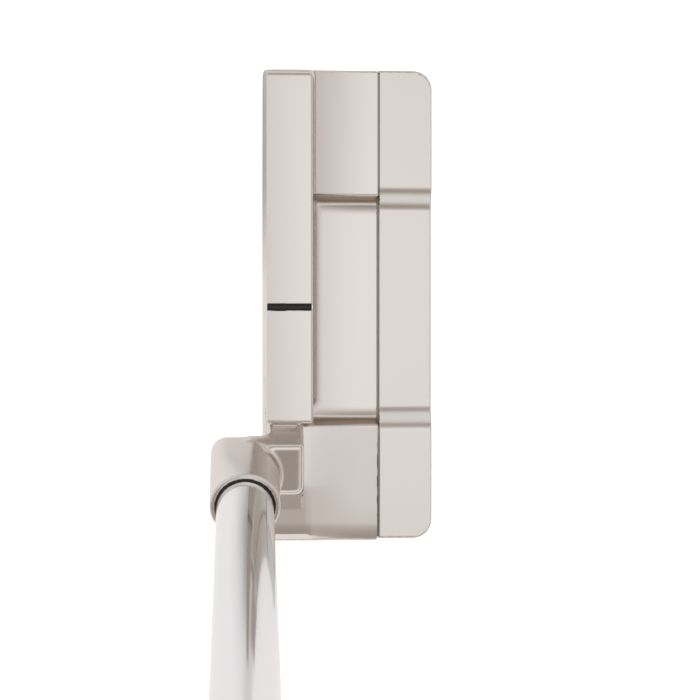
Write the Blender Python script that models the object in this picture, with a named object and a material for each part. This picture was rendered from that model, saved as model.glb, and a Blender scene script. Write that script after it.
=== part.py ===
"""Blade putter with a plumbing neck, a two-piece head and removable sole weights.

Frame: +X from the face to the back of the head, +Y from heel to toe, +Z up. The origin is on the
ground, under the sight line, midway through the head's depth. Every size below is in millimetres,
and MM turns it into metres when a mesh is made.
"""

import math

import bmesh
import bpy
from mathutils import Vector

MM = 0.001

# Head outline. The end walls lean in above END_FOOT, and the sole curves up towards both ends.
TOE_LENGTH = 55.35
HEEL_LENGTH = 54.35
FACE_TOP_X = -18.9
BACK_X = 20.4
FACE_LOFT = math.radians(1.5)
END_DRAFT = math.tan(math.radians(7.2))
END_FOOT = 10.0
LEADING_RADIUS = 2.2
SOLE_FLAT_LENGTH = 20.0
SOLE_RISE = math.tan(math.radians(3.0))
SOLE_FRONT_X = -13.0
SOLE_FRONT_RISE = 0.9
SOLE_BACK_X = 12.0
SOLE_BACK_RISE = math.tan(math.radians(8.0))
SOLE_EDGE = 3.0

# Topline, bumpers and cavity of the steel body.
TOPLINE_HEIGHT = 26.0
TOPLINE_WIDTH = 10.6
TOPLINE_EDGE = 0.4
TOPLINE_END_ROUND = 1.7
BUMPER_FRONT_HEIGHT = 18.5
BUMPER_BACK_HEIGHT = 14.5
CAVITY_TOE = 26.0
CAVITY_HEEL = 27.1
CAVITY_FLOOR = 11.0
CAVITY_FILLET = 4.8
CAVITY_FRONT_FILLET = 3.0
CAVITY_SETBACK = 0.25
SHOULDER_Y = -42.0
SHOULDER_SLOPE = 0.167
HEEL_ROUND = 2.4
SEAT_HEIGHT = 17.4

# Aluminium flange with its sole plate, and the membrane between it and the steel.
SEAM_X = 7.0
SEAM_GAP = 0.42
FLANGE_END_HEIGHT = 14.3
FLANGE_MID_HEIGHT = 11.7
FLANGE_FALL = 0.9
FLANGE_STEP_START = 22.55
FLANGE_STEP_LENGTH = 5.6
FLANGE_CORNER_DEPTH = 3.8
FLANGE_CORNER_LENGTH = 5.6
FLANGE_HEEL_SETBACK = 0.5
PLATE_FRONT_X = -4.0
PLATE_THICKNESS = 6.0
MEMBRANE_THICKNESS = 0.3
MEMBRANE_SUNK = 0.35

# Sight line across the topline.
SIGHT_WIDTH = 1.5
SIGHT_DEPTH = 0.5
SIGHT_PAINT_SUNK = 0.15

# Sole weights and flange screws.
WEIGHT_X = -11.4
WEIGHT_Y = 41.0
WEIGHT_RADIUS = 6.2
WEIGHT_HEIGHT = 8.0
WEIGHT_SUNK = 0.35
WEIGHT_CLEARANCE = 0.08
SPANNER_HOLE_RADIUS = 0.95
SPANNER_HOLE_OFFSET = 3.3
SPANNER_HOLE_DEPTH = 2.6
SCREW_X = 1.6
SCREW_Y = (42.0, 14.0)
SCREW_RADIUS = 1.6
SCREW_LENGTH = 8.6
SCREW_HEAD_RADIUS = 2.9
SCREW_HEAD_HEIGHT = 1.9
SCREW_SUNK = 0.4
SCREW_CLEARANCE = 0.12
HEX_RADIUS = 1.45
HEX_DEPTH = 1.2

# Shaft line and neck. The neck is drawn in a frame at the hosel's mouth, with its third axis up the shaft.
LEAN = math.radians(20.0)
SHAFT_X = -23.6
SHAFT_GROUND_Y = -24.2
MOUTH_HEIGHT = 50.0
HOSEL_WALL = 1.1
HOSEL_LENGTH = 22.4
HOSEL_END_ROUND = 3.3
HOSEL_MOUTH_ROUND = 0.5
HOSEL_CORNER = 3.6
ARM_TOP = 17.0
ARM_THICKNESS = 6.0
ARM_START = 1.2
NECK_TOE_SIDE = 6.8
NECK_HEEL_SIDE = -5.3
POST_FRONT_X = -18.7
POST_BACK_X = -10.7
POCKET_DEPTH = 1.0
POCKET_RIM = 1.0
POCKET_TOP = 18.7
SPIGOT_RADIUS = 3.0
SPIGOT_LENGTH = 6.0

# Shaft, grip and what is bonded between them. Lengths are measured up the shaft from the mouth.
CLUB_LENGTH = 864.0
SHAFT_MOUTH_RADIUS = 6.08
SHAFT_TAPER = 0.00174
SHAFT_WALL = 0.5
SHAFT_INSERTION = 18.5
BORE_DEPTH = 19.2
GLUE_THICKNESS = 0.32
GLUE_SUNK = 0.5
FIT_GAP = 0.05
BOND_GAP = 0.1
PLUG_LENGTH = 8.0
BAND_LENGTH = 24.0
BAND_BELOW_GRIP = 12.0
BAND_THICKNESS = 0.12
GRIP_LENGTH = 262.0
GRIP_MOUTH_RADIUS = 9.3
GRIP_HALF_WIDTH = 12.8
GRIP_FRONT_DEPTH = 10.6
GRIP_BELLY_DEPTH = 12.4
GRIP_PISTOL_SWELL = 6.6
GRIP_CAP_THICKNESS = 4.0
GRIP_CAP_OVERLAP = 9.0
TAPE_THICKNESS = 0.2
VENT_RADIUS = 1.2

ROUND = 48
SMALL_ROUND = 24
FAR = 60.0

TOPLINE_BACK_X = FACE_TOP_X + TOPLINE_WIDTH
STEEL_BACK_X = SEAM_X - SEAM_GAP / 2
FLANGE_FRONT_X = SEAM_X + SEAM_GAP / 2
STEEL_UNDER_HEIGHT = PLATE_THICKNESS + SEAM_GAP
BORE_RADIUS = SHAFT_MOUTH_RADIUS + GLUE_THICKNESS
HOSEL_RADIUS = BORE_RADIUS + HOSEL_WALL
MOUTH_Y = SHAFT_GROUND_Y - MOUTH_HEIGHT * math.tan(LEAN)
BUTT = CLUB_LENGTH - MOUTH_HEIGHT / math.cos(LEAN)
GRIP_START = BUTT - GRIP_LENGTH


# Materials

def material(name, colour, roughness, metallic):
    made = bpy.data.materials.new(name)
    made.use_nodes = True
    shader = made.node_tree.nodes["Principled BSDF"]
    shader.inputs["Base Color"].default_value = (*colour, 1.0)
    shader.inputs["Roughness"].default_value = roughness
    shader.inputs["Metallic"].default_value = metallic
    made.diffuse_color = (*colour, 1.0)
    return made


# Meshes

def add_object(name, points, faces, finish=None, holder=None):
    """A mesh object from points in millimetres, with its normals turned outwards."""
    mesh = bpy.data.meshes.new(name)
    mesh.from_pydata([Vector(point) * MM for point in points], [], faces)
    shape = bmesh.new()
    shape.from_mesh(mesh)
    bmesh.ops.recalc_face_normals(shape, faces=shape.faces)
    shape.to_mesh(mesh)
    shape.free()
    mesh.shade_smooth()
    mesh.set_sharp_from_angle(angle=math.radians(30))
    made = bpy.data.objects.new(name, mesh)
    bpy.context.scene.collection.objects.link(made)
    made.parent = holder
    if finish:
        mesh.materials.append(finish)
    return made


def skin(name, rings, finish=None, holder=None):
    """A closed body through rings of equally many points, capped at both ends."""
    count = len(rings[0])
    points = [point for ring in rings for point in ring]
    faces = [tuple(range(count))[::-1]]
    for ring in range(len(rings) - 1):
        for i in range(count):
            here = ring * count + i
            beside = ring * count + (i + 1) % count
            faces.append((here, beside, beside + count, here + count))
    faces.append(tuple(range(len(points) - count, len(points))))
    return add_object(name, points, faces, finish, holder)


def sleeve(name, rings, finish=None, holder=None):
    """A closed body through rings that return to the first one, with a hole through its middle."""
    count = len(rings[0])
    points = [point for ring in rings for point in ring]
    faces = []
    for ring in range(len(rings)):
        following = (ring + 1) % len(rings)
        for i in range(count):
            j = (i + 1) % count
            faces.append((ring * count + i, ring * count + j, following * count + j, following * count + i))
    return add_object(name, points, faces, finish, holder)


def circle(radius, height, count=ROUND, centre=(0.0, 0.0)):
    turns = [2 * math.pi * i / count for i in range(count)]
    return [(centre[0] + radius * math.cos(a), centre[1] + radius * math.sin(a), height) for a in turns]


def peg(name, steps, centre=(0.0, 0.0), count=ROUND, finish=None, holder=None):
    """An upright turned body from (radius, height) steps."""
    rings = [circle(radius, height, count, centre) for radius, height in steps]
    return skin(name, rings, finish, holder)


def prism(name, outline, axis, low, high, finish=None, holder=None):
    """An outline in the two other axes, in X, Y, Z order, drawn out along one axis."""
    def at(place, distance):
        point = list(place)
        point.insert("XYZ".index(axis), distance)
        return tuple(point)

    rings = [[at(place, distance) for place in outline] for distance in (low, high)]
    return skin(name, rings, finish, holder)


def arc(centre, radii, start, end, count=6):
    """Points of an ellipse's arc between two angles in degrees."""
    angles = [math.radians(start + (end - start) * i / count) for i in range(count + 1)]
    return [(centre[0] + radii[0] * math.cos(a), centre[1] + radii[1] * math.sin(a)) for a in angles]


def combine(target, other, operation):
    """Joins, cuts or keeps what two bodies share, and hides the second one."""
    step = target.modifiers.new(f"{operation} {other.name}", "BOOLEAN")
    step.operation = operation
    step.solver = "EXACT"
    step.object = other
    other.hide_render = True
    other.display_type = "WIRE"


# Head surfaces, as heights or places along one axis

def face_x(height):
    return FACE_TOP_X - (TOPLINE_HEIGHT - height) * math.tan(FACE_LOFT)


def sole_height(y):
    return max(0.0, abs(y) - SOLE_FLAT_LENGTH) * SOLE_RISE


def toe_y(height):
    return TOE_LENGTH - max(0.0, height - END_FOOT) * END_DRAFT


def heel_y(height, setback=0.0):
    return -HEEL_LENGTH + setback + max(0.0, height - END_FOOT) * END_DRAFT


def bumper_height(x):
    """The bumper falls from the topline to the seam, steep at first and level at the seam."""
    share = (STEEL_BACK_X - x) / (STEEL_BACK_X - TOPLINE_BACK_X)
    return BUMPER_BACK_HEIGHT + (BUMPER_FRONT_HEIGHT - BUMPER_BACK_HEIGHT) * share**2


def flange_height(y):
    """Raised at both ends and lower between, joined by smooth steps."""
    share = min(1.0, max(0.0, (abs(y) - FLANGE_STEP_START) / FLANGE_STEP_LENGTH))
    blend = share * share * (3.0 - 2.0 * share)
    return FLANGE_MID_HEIGHT + (FLANGE_END_HEIGHT - FLANGE_MID_HEIGHT) * blend


def sole_outline(setback=0.0):
    """The cambered underside with its rounded ends, from heel to toe, as (y, z)."""
    heel = -HEEL_LENGTH + setback
    heel_foot = sole_height(heel + SOLE_EDGE) + SOLE_EDGE
    toe_foot = sole_height(TOE_LENGTH - SOLE_EDGE) + SOLE_EDGE
    return [
        *arc((heel + SOLE_EDGE, heel_foot), (SOLE_EDGE, SOLE_EDGE), 180, 270, 4),
        (-SOLE_FLAT_LENGTH, 0.0),
        (SOLE_FLAT_LENGTH, 0.0),
        *arc((TOE_LENGTH - SOLE_EDGE, toe_foot), (SOLE_EDGE, SOLE_EDGE), 270, 360, 4),
    ]


def flange_stations():
    """Places along the flange's top: the two steps closely, the flats only at their ends."""
    step = [FLANGE_STEP_START + FLANGE_STEP_LENGTH * i / 8 for i in range(9)]
    return step[::-1] + [-y for y in step]


# Head pieces

def make_head_body(finish):
    """Side profile drawn from heel to toe, then trimmed by the end walls."""
    leading_height = SOLE_FRONT_RISE + LEADING_RADIUS
    leading_x = face_x(leading_height)
    profile = [
        (SOLE_FRONT_X, 0.0),
        *arc((leading_x + LEADING_RADIUS, leading_height), (LEADING_RADIUS, LEADING_RADIUS), 250, 180, 4),
        (face_x(TOPLINE_HEIGHT - TOPLINE_EDGE), TOPLINE_HEIGHT - TOPLINE_EDGE),
        (FACE_TOP_X + TOPLINE_EDGE, TOPLINE_HEIGHT),
        (TOPLINE_BACK_X - TOPLINE_EDGE, TOPLINE_HEIGHT),
        (TOPLINE_BACK_X, TOPLINE_HEIGHT - TOPLINE_EDGE),
    ]
    for i in range(9):
        x = TOPLINE_BACK_X + (STEEL_BACK_X - TOPLINE_BACK_X) * i / 8
        profile.append((x, bumper_height(x)))
    plate_edge = PLATE_FRONT_X - BOND_GAP
    profile.append((STEEL_BACK_X, STEEL_UNDER_HEIGHT))
    profile.append((plate_edge, STEEL_UNDER_HEIGHT))
    profile.append((plate_edge, 0.0))
    body = prism("head_body", profile, "Y", -HEEL_LENGTH - FAR, TOE_LENGTH + FAR, finish)
    combine(body, make_end_walls(), "INTERSECT")
    combine(body, make_cavity_cutter(), "DIFFERENCE")
    combine(body, make_heel_cutter(), "DIFFERENCE")
    combine(body, make_sight_cutter(), "DIFFERENCE")
    for side, y in (("toe", WEIGHT_Y), ("heel", -WEIGHT_Y)):
        socket_top = sole_height(y) + WEIGHT_SUNK + WEIGHT_HEIGHT + BOND_GAP
        radius = WEIGHT_RADIUS + WEIGHT_CLEARANCE
        socket = peg(f"{side}_weight_socket", [(radius, -FAR), (radius, socket_top)], (WEIGHT_X, y))
        combine(body, socket, "DIFFERENCE")
    for number, y in enumerate(screw_places(), 1):
        radius = SCREW_RADIUS + SCREW_CLEARANCE
        hole = peg(f"screw_hole_{number}", [(radius, 0.0), (radius, screw_top(y) + BOND_GAP)],
                   (SCREW_X, y), SMALL_ROUND)
        combine(body, hole, "DIFFERENCE")
    return body


def make_end_walls():
    """What lies between the heel and toe walls, with the topline's toe end rounded."""
    shoulder = TOPLINE_HEIGHT - TOPLINE_END_ROUND
    heel_top = shoulder_height(-HEEL_LENGTH + HEEL_ROUND)
    outline = [
        *sole_outline(),
        (toe_y(END_FOOT), END_FOOT),
        (toe_y(shoulder), shoulder),
        (toe_y(shoulder) - 0.3 * TOPLINE_END_ROUND, TOPLINE_HEIGHT - 0.3 * TOPLINE_END_ROUND),
        (toe_y(shoulder) - TOPLINE_END_ROUND, TOPLINE_HEIGHT + 0.05),
        (0.0, TOPLINE_HEIGHT + FAR),
        (-HEEL_LENGTH + 3 * HEEL_ROUND, heel_top + 2 * HEEL_ROUND),
        (-HEEL_LENGTH + HEEL_ROUND, heel_top),
        (heel_y(heel_top - HEEL_ROUND), heel_top - HEEL_ROUND),
        (heel_y(END_FOOT), END_FOOT),
    ]
    return prism("end_walls", outline, "X", -FAR, FAR)


def make_cavity_cutter():
    """The cavity's length section, shared with its depth section so that all its floor edges are round."""
    r = CAVITY_FILLET
    floor = CAVITY_FLOOR + r
    length_section = [
        (CAVITY_TOE, FAR),
        (-CAVITY_HEEL, FAR),
        *arc((-CAVITY_HEEL + r, floor), (r, r), 180, 270),
        *arc((CAVITY_TOE - r, floor), (r, r), 270, 360),
    ]
    front = TOPLINE_BACK_X + CAVITY_SETBACK
    r = CAVITY_FRONT_FILLET
    depth_section = [
        (front, FAR + 5),
        *arc((front + r, CAVITY_FLOOR + 0.01 + r), (r, r), 180, 270),
        (FAR, CAVITY_FLOOR + 0.01),
        (FAR, FAR + 5),
    ]
    cutter = prism("cavity_cutter", length_section, "X", -FAR, FAR + 5)
    combine(cutter, prism("cavity_depth", depth_section, "Y", -FAR, FAR), "INTERSECT")
    return cutter


def shoulder_height(y):
    """The heel shoulder slopes down from the neck's seat towards the heel."""
    return SEAT_HEIGHT + SHOULDER_SLOPE * min(0.0, y - SHOULDER_Y)


def neck_wall_y(height, side):
    """Where a plane along the shaft, at this distance from its axis, passes a height."""
    return MOUTH_Y + (MOUTH_HEIGHT - height) * math.tan(LEAN) + side / math.cos(LEAN)


def make_heel_cutter():
    """Clears the topline behind a wall that leans with the neck, down to the seat and the shoulder."""
    side = NECK_TOE_SIDE + BOND_GAP
    outline = [
        (neck_wall_y(FAR, side), FAR),
        (neck_wall_y(SEAT_HEIGHT, side), SEAT_HEIGHT),
        (SHOULDER_Y, SEAT_HEIGHT),
        (-HEEL_LENGTH - FAR, shoulder_height(-HEEL_LENGTH - FAR)),
        (-HEEL_LENGTH - FAR, FAR),
    ]
    return prism("heel_cutter", outline, "X", -FAR, FAR)


def make_sight_cutter():
    half = SIGHT_WIDTH / 2
    floor = TOPLINE_HEIGHT - SIGHT_DEPTH
    outline = [(-half, FAR), (-half, floor + 0.2), (-half + 0.3, floor), (half - 0.3, floor),
               (half, floor + 0.2), (half, FAR)]
    return prism("sight_cutter", outline, "X", -FAR, TOPLINE_BACK_X + 1.0)


def make_sight_paint(finish):
    """Paint that fills the groove, a little below the topline."""
    half = SIGHT_WIDTH / 2 - FIT_GAP
    low = TOPLINE_HEIGHT - SIGHT_DEPTH + FIT_GAP
    high = TOPLINE_HEIGHT - SIGHT_PAINT_SUNK
    front = FACE_TOP_X + TOPLINE_EDGE
    outline = [(-half, high), (-half, low + 0.2), (-half + 0.3, low), (half - 0.3, low),
               (half, low + 0.2), (half, high)]
    prism("sight_line_paint", outline, "X", front, TOPLINE_BACK_X - TOPLINE_EDGE, finish)


def make_rear_flange(finish):
    """Flange and sole plate in one piece: its length section falls slightly towards the back."""
    def section(x, fall):
        tops = [(y, flange_height(y) - fall) for y in flange_stations()]
        high = FLANGE_END_HEIGHT - fall
        ends = [(toe_y(END_FOOT), END_FOOT), (toe_y(high), high)]
        heel = [(heel_y(high, FLANGE_HEEL_SETBACK), high), (heel_y(END_FOOT, FLANGE_HEEL_SETBACK), END_FOOT)]
        return [(x, y, z) for y, z in sole_outline(FLANGE_HEEL_SETBACK) + ends + tops + heel]

    flange = skin("rear_flange", [section(PLATE_FRONT_X, 0.0), section(SEAM_X, 0.0),
                                  section(BACK_X, FLANGE_FALL)], finish)
    margin = 0.3
    toe = TOE_LENGTH + margin
    heel = -HEEL_LENGTH - margin
    corner = (FLANGE_CORNER_DEPTH, FLANGE_CORNER_LENGTH)
    plan = [
        (-FAR, heel),
        *arc((BACK_X - margin - corner[0], heel + corner[1]), corner, 270, 360, 8),
        *arc((BACK_X - margin - corner[0], toe - corner[1]), corner, 0, 90, 8),
        (-FAR, toe),
    ]
    combine(flange, prism("flange_plan", plan, "Z", -FAR, FAR), "INTERSECT")
    steel_space = [(-FAR, PLATE_THICKNESS), (FLANGE_FRONT_X, PLATE_THICKNESS), (FLANGE_FRONT_X, FAR),
                   (-FAR, FAR)]
    combine(flange, prism("steel_space", steel_space, "Y", -2 * FAR, 2 * FAR), "DIFFERENCE")
    drop = SOLE_BACK_RISE * FAR
    relief = [(SOLE_BACK_X - FAR, -drop), (SOLE_BACK_X + FAR, -drop), (SOLE_BACK_X + FAR, drop)]
    combine(flange, prism("sole_relief", relief, "Y", -2 * FAR, 2 * FAR), "DIFFERENCE")
    for number, y in enumerate(screw_places(), 1):
        head_top = screw_foot(y) + SCREW_HEAD_HEIGHT + FIT_GAP
        wide = SCREW_HEAD_RADIUS + SCREW_CLEARANCE
        narrow = SCREW_RADIUS + SCREW_CLEARANCE
        steps = [(wide, -FAR), (wide, head_top), (narrow, head_top), (narrow, FAR)]
        hole = peg(f"plate_hole_{number}", steps, (SCREW_X, y), SMALL_ROUND)
        combine(flange, hole, "DIFFERENCE")


def make_seam_membrane(finish):
    """An upright strip in the seam and a level one over the sole plate, in one piece."""
    air = (SEAM_GAP - MEMBRANE_THICKNESS) / 2
    low = PLATE_THICKNESS + air
    front = STEEL_BACK_X + air
    end = 0.6
    tops = [(y, min(flange_height(y), FLANGE_END_HEIGHT) - MEMBRANE_SUNK) for y in flange_stations()]
    high = FLANGE_END_HEIGHT - MEMBRANE_SUNK
    outline = [
        (heel_y(high, FLANGE_HEEL_SETBACK) + end, low),
        (toe_y(high) - end, low),
        (toe_y(high) - end, high),
        *tops,
        (heel_y(high, FLANGE_HEEL_SETBACK) + end, high),
    ]
    membrane = prism("seam_membrane", outline, "X", front, front + MEMBRANE_THICKNESS, finish)
    level = [(-HEEL_LENGTH + 2 * SOLE_EDGE, low), (TOE_LENGTH - 2 * SOLE_EDGE, low),
             (TOE_LENGTH - 2 * SOLE_EDGE, low + MEMBRANE_THICKNESS),
             (-HEEL_LENGTH + 2 * SOLE_EDGE, low + MEMBRANE_THICKNESS)]
    sheet = prism("membrane_sheet", level, "X", PLATE_FRONT_X + end, front + MEMBRANE_THICKNESS / 2)
    combine(membrane, sheet, "UNION")
    for number, y in enumerate(screw_places(), 1):
        radius = SCREW_RADIUS + SCREW_CLEARANCE
        hole = peg(f"membrane_hole_{number}", [(radius, 0.0), (radius, FAR)], (SCREW_X, y), SMALL_ROUND)
        combine(membrane, hole, "DIFFERENCE")


# Fasteners in the sole

def screw_places():
    return [SCREW_Y[0], SCREW_Y[1], -SCREW_Y[1], -SCREW_Y[0]]


def screw_foot(y):
    return sole_height(y) + SCREW_SUNK


def screw_top(y):
    return screw_foot(y) + SCREW_LENGTH


def make_screws(finish):
    """Socket-head screws that come up through the sole plate into the steel."""
    for number, y in enumerate(screw_places(), 1):
        foot = screw_foot(y)
        neck = foot + SCREW_HEAD_HEIGHT
        steps = [
            (SCREW_HEAD_RADIUS - 0.3, foot),
            (SCREW_HEAD_RADIUS, foot + 0.3),
            (SCREW_HEAD_RADIUS, neck),
            (SCREW_RADIUS, neck),
            (SCREW_RADIUS, screw_top(y) - 0.4),
            (SCREW_RADIUS - 0.4, screw_top(y)),
        ]
        screw = peg(f"flange_screw_{number}", steps, (SCREW_X, y), SMALL_ROUND, finish)
        key = peg(f"key_{number}", [(HEX_RADIUS, -FAR), (HEX_RADIUS, foot + HEX_DEPTH)], (SCREW_X, y), 6)
        combine(screw, key, "DIFFERENCE")


def make_weights(finish):
    """Round sole weights with two spanner holes. Each has its origin on its own axis."""
    for side, y in (("toe", WEIGHT_Y), ("heel", -WEIGHT_Y)):
        foot = sole_height(y) + WEIGHT_SUNK
        steps = [
            (WEIGHT_RADIUS - 0.4, 0.0),
            (WEIGHT_RADIUS, 0.4),
            (WEIGHT_RADIUS, WEIGHT_HEIGHT - 0.6),
            (WEIGHT_RADIUS - 0.6, WEIGHT_HEIGHT),
        ]
        weight = peg(f"{side}_weight", steps, finish=finish)
        weight.location = Vector((WEIGHT_X, y, foot)) * MM
        for end in (-1, 1):
            centre = (0.0, end * SPANNER_HOLE_OFFSET)
            steps = [(SPANNER_HOLE_RADIUS, -FAR), (SPANNER_HOLE_RADIUS, SPANNER_HOLE_DEPTH)]
            hole = peg(f"{side}_spanner_hole_{end}", steps, centre, SMALL_ROUND, holder=weight)
            combine(weight, hole, "DIFFERENCE")


# Neck, in the frame at the hosel's mouth

def rounded_square(half, corner, height, count=ROUND):
    """A ring of four flats and four corners. It is a circle when the corner radius equals the half-width."""
    flat = half - corner
    ring = []
    for i in range(count):
        turn = 2 * math.pi * i / count
        c, s = math.cos(turn), math.sin(turn)
        across = math.copysign(flat, c) if abs(c) > 0.001 else 0.0
        along = math.copysign(flat, s) if abs(s) > 0.001 else 0.0
        ring.append((across + corner * c, along + corner * s, height))
    return ring


def make_neck(axis, finish):
    """Hosel, arm and post. The arm and post are one bent bar, and the post stands on the head's seat."""
    mouth = HOSEL_RADIUS - HOSEL_MOUTH_ROUND
    rings = [rounded_square(mouth, mouth, 0.0)]
    straight = HOSEL_LENGTH - HOSEL_END_ROUND
    for i in range(6):
        share = i / 5
        corner = HOSEL_RADIUS + (HOSEL_CORNER - HOSEL_RADIUS) * share
        height = -HOSEL_MOUTH_ROUND - (straight - HOSEL_MOUTH_ROUND) * share
        rings.append(rounded_square(HOSEL_RADIUS, corner, height))
    for i in range(1, 7):
        turn = math.radians(90 * i / 6)
        shrink = HOSEL_END_ROUND * (1 - math.cos(turn))
        height = -straight - HOSEL_END_ROUND * math.sin(turn)
        rings.append(rounded_square(HOSEL_RADIUS - shrink, HOSEL_CORNER - shrink, height))
    neck = skin("plumbing_neck", rings, finish, axis)

    front = POST_FRONT_X - SHAFT_X
    back = POST_BACK_X - SHAFT_X
    foot = -HOSEL_LENGTH - FAR
    bar_outline = [
        (ARM_START, -ARM_TOP),
        (back - 1.0, -ARM_TOP),
        (back, -ARM_TOP - 1.0),
        (back, foot),
        (front, foot),
        (front, -ARM_TOP - ARM_THICKNESS),
        (ARM_START, -ARM_TOP - ARM_THICKNESS),
    ]
    bar = prism("neck_bar", bar_outline, "Y", NECK_HEEL_SIDE, NECK_TOE_SIDE, holder=axis)
    seat = SEAT_HEIGHT + BOND_GAP
    ground = [(-3 * FAR, -3 * FAR), (3 * FAR, -3 * FAR), (3 * FAR, seat), (-3 * FAR, seat)]
    combine(bar, prism("below_seat", ground, "X", -FAR, FAR), "DIFFERENCE")
    combine(neck, bar, "UNION")

    middle = (NECK_TOE_SIDE + NECK_HEEL_SIDE) / 2
    centre = ((front + back) / 2, middle)
    spigot_top = -ARM_TOP - ARM_THICKNESS
    spigot = make_spigot("spigot", axis, centre, SPIGOT_RADIUS, spigot_top, seat_depth(middle) + SPIGOT_LENGTH)
    combine(neck, spigot, "UNION")
    bore = peg("shaft_bore", [(BORE_RADIUS, -BORE_DEPTH), (BORE_RADIUS, FAR)], holder=axis)
    combine(neck, bore, "DIFFERENCE")
    pocket_floor = NECK_TOE_SIDE - POCKET_DEPTH
    pocket = [
        (front + POCKET_RIM, -POCKET_TOP),
        (back - POCKET_RIM, -POCKET_TOP),
        (back - POCKET_RIM, -seat_depth(NECK_TOE_SIDE) + TOPLINE_HEIGHT - SEAT_HEIGHT),
        (front + POCKET_RIM, -seat_depth(NECK_TOE_SIDE) + TOPLINE_HEIGHT - SEAT_HEIGHT),
    ]
    combine(neck, prism("toe_pocket", pocket, "Y", pocket_floor, FAR, holder=axis), "DIFFERENCE")
    return centre, middle


def seat_depth(side):
    """How far below the mouth, along the shaft, a line at this side of the axis meets the seat."""
    return (MOUTH_HEIGHT - SEAT_HEIGHT + side * math.sin(LEAN)) / math.cos(LEAN)


def make_spigot(name, axis, centre, radius, top, depth):
    return peg(name, [(radius, -depth), (radius, top)], centre, SMALL_ROUND, holder=axis)


# Shaft and grip, in the same frame

def shaft_radius(height):
    return SHAFT_MOUTH_RADIUS + SHAFT_TAPER * height


def tube(name, inner, outer, low, high, finish, holder):
    """A sleeve whose radii are functions of the height."""
    rings = [circle(inner(low), low), circle(outer(low), low), circle(outer(high), high),
             circle(inner(high), high)]
    return sleeve(name, rings, finish, holder)


def make_shaft(axis, chrome, glue, plastic, label):
    def bore(height):
        return shaft_radius(height) - SHAFT_WALL

    def band_inner(height):
        return shaft_radius(height) + FIT_GAP

    tube("shaft", bore, shaft_radius, -SHAFT_INSERTION, BUTT, chrome, axis)
    tube("hosel_epoxy", band_inner, lambda height: BORE_RADIUS - FIT_GAP, -SHAFT_INSERTION, -GLUE_SUNK,
         glue, axis)
    plug_radius = bore(-SHAFT_INSERTION) - FIT_GAP
    peg("shaft_tip_plug", [(plug_radius - 0.4, -SHAFT_INSERTION), (plug_radius, 0.4 - SHAFT_INSERTION),
                           (plug_radius, PLUG_LENGTH - SHAFT_INSERTION)], finish=plastic, holder=axis)
    top = GRIP_START - BAND_BELOW_GRIP
    tube("shaft_band", band_inner, lambda height: band_inner(height) + BAND_THICKNESS, top - BAND_LENGTH, top,
         label, axis)


def tape_inner(height):
    return shaft_radius(height) + FIT_GAP


def tape_outer(height):
    return tape_inner(height) + TAPE_THICKNESS


def grip_bore(height):
    return tape_outer(height) + FIT_GAP


def grip_ring(height):
    """Nearly round at the mouth. Higher up it is flat towards the toe, with a pistol swell towards the heel."""
    share = (height - GRIP_START) / GRIP_LENGTH
    rise = min(1.0, share / 0.55)
    blend = rise * rise * (3.0 - 2.0 * rise)
    swell = math.exp(-(((share - 0.93) / 0.17) ** 2))
    width = GRIP_MOUTH_RADIUS + (GRIP_HALF_WIDTH - GRIP_MOUTH_RADIUS) * blend
    front = GRIP_MOUTH_RADIUS + (GRIP_FRONT_DEPTH - GRIP_MOUTH_RADIUS) * blend
    belly = GRIP_MOUTH_RADIUS + (GRIP_BELLY_DEPTH - GRIP_MOUTH_RADIUS) * blend + GRIP_PISTOL_SWELL * swell
    ring = []
    for i in range(ROUND):
        turn = 2 * math.pi * i / ROUND
        c, s = math.cos(turn), math.sin(turn)
        squareness = 2.0 + 1.4 * blend if s > 0 else 2.0 + 0.3 * blend
        depth = front if s > 0 else belly
        reach = 1 / ((abs(c) / width) ** squareness + (abs(s) / depth) ** squareness) ** (1 / squareness)
        ring.append((reach * c, reach * s, height))
    return ring


def inset(ring, share, height):
    return [(x * share, y * share, height) for x, y, _ in ring]


def make_grip(axis, rubber, tape, cap_finish):
    """Moulded grip over double-sided tape, closed by a separate cap with a vent hole."""
    tube("grip_tape", tape_inner, tape_outer, GRIP_START + 3.0, BUTT - 1.0, tape, axis)
    stations = [GRIP_START + GRIP_LENGTH * i / 12 for i in range(13)]
    outer = [inset(grip_ring(GRIP_START), 0.93, GRIP_START), grip_ring(GRIP_START + 1.0)]
    outer += [grip_ring(height) for height in stations[1:]]
    inner = [circle(grip_bore(height), height) for height in (BUTT, GRIP_START)]
    sleeve("grip", outer + inner, rubber, axis)
    low = BUTT + BOND_GAP
    high = low + GRIP_CAP_THICKNESS
    rim = grip_ring(BUTT)
    rings = [inset(rim, 1.0, low), inset(rim, 0.98, high - 1.6), inset(rim, 0.9, high - 0.5),
             inset(rim, 0.76, high)]
    cap = skin("grip_end_cap", rings, cap_finish, axis)
    stem_radius = shaft_radius(BUTT) - SHAFT_WALL - FIT_GAP
    stem = peg("cap_stem", [(stem_radius, BUTT - GRIP_CAP_OVERLAP), (stem_radius, low + 1.0)], holder=axis)
    combine(cap, stem, "UNION")
    vent = peg("cap_vent", [(VENT_RADIUS, 0.0), (VENT_RADIUS, BUTT + FAR)], count=SMALL_ROUND, holder=axis)
    combine(cap, vent, "DIFFERENCE")


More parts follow.
